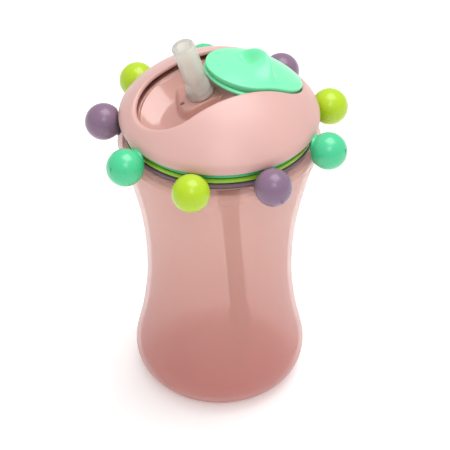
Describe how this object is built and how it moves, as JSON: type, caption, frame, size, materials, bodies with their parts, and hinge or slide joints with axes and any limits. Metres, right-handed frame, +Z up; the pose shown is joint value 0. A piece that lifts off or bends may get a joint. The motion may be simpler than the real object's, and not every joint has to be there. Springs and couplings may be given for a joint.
{
  "type": "straw sippy cup",
  "caption": "Waisted child's straw cup with a screw lid, a sliding cover over a folding straw, and turning rings of beads.",
  "frame": {"origin": "centre of the flat underside of the cup's base", "axes": "+Z up along the cup's centre line; +X to the right and -Y to the front in the usual view"},
  "size_m": [0.1059, 0.1063, 0.1695],
  "materials": {
    "frosted_pink": "frosted translucent polypropylene",
    "satin_pink": "satin opaque plastic",
    "mint": "smooth gloss plastic",
    "lime": "smooth gloss plastic",
    "purple": "smooth gloss plastic",
    "silicone": "clear milky silicone",
    "tube_plastic": "thin translucent tube"
  },
  "bodies": {
    "cup": {"cup_body": "frosted_pink"},
    "seal": {"lid_gasket": "silicone"},
    "lid": {"lid_base": "satin_pink", "lid_bowl": "satin_pink", "lid_dome": "satin_pink", "ring_retainer": "satin_pink", "vent_valve": "silicone", "straw_collar": "silicone", "straw_tube": "tube_plastic", "straw_foot": "tube_plastic"},
    "cover": {"slide_cover": "mint", "slide_runner": "mint"},
    "spout": {"straw_spout": "silicone"},
    "ring_lower": {"ring_purple": "purple", "bead_purple_1": "purple", "bead_purple_2": "purple", "bead_purple_3": "purple"},
    "ring_middle": {"ring_lime": "lime", "bead_lime_1": "lime", "bead_lime_2": "lime", "bead_lime_3": "lime"},
    "ring_upper": {"ring_mint": "mint", "bead_mint_1": "mint", "bead_mint_2": "mint", "bead_mint_3": "mint"}
  },
  "joints": [
    {"name": "lid_rise", "type": "slide", "parent": "cup", "child": "seal", "axis": [0, 0, 1], "range_m": [0, 0.003]},
    {"name": "lid_turn", "type": "hinge", "parent": "seal", "child": "lid", "pos_m": [0, 0, 0.124], "axis": [0, 0, 1], "range_deg": [0, 270]},
    {"name": "cover_slide", "type": "hinge", "parent": "lid", "child": "cover", "pos_m": [0, 0, 0.10345], "axis": [0.4289, -0.9033, 0], "range_deg": [0, 39]},
    {"name": "spout_fold", "type": "hinge", "parent": "lid", "child": "spout", "pos_m": [-0.00831, -0.00395, 0.1452], "axis": [0.4289, -0.9033, 0], "range_deg": [0, 96], "deforming": ["straw_spout"]},
    {"name": "rings_turn", "type": "hinge", "parent": "lid", "child": "ring_lower", "pos_m": [0, 0, 0.1217], "axis": [0, 0, 1], "continuous": true},
    {"name": "middle_ring_shift", "type": "hinge", "parent": "ring_lower", "child": "ring_middle", "pos_m": [0, 0, 0.1242], "axis": [0, 0, 1], "range_deg": [-10, 20]},
    {"name": "upper_ring_shift", "type": "hinge", "parent": "ring_middle", "child": "ring_upper", "pos_m": [0, 0, 0.1267], "axis": [0, 0, 1], "range_deg": [-10, 18]}
  ],
  "couplings": [
    {"joint": "lid_rise", "follows": "lid_turn", "m_per_rad": 0.00063662},
    {"joint": "spout_fold", "follows": "cover_slide", "ratio": 2.4615}
  ]
}
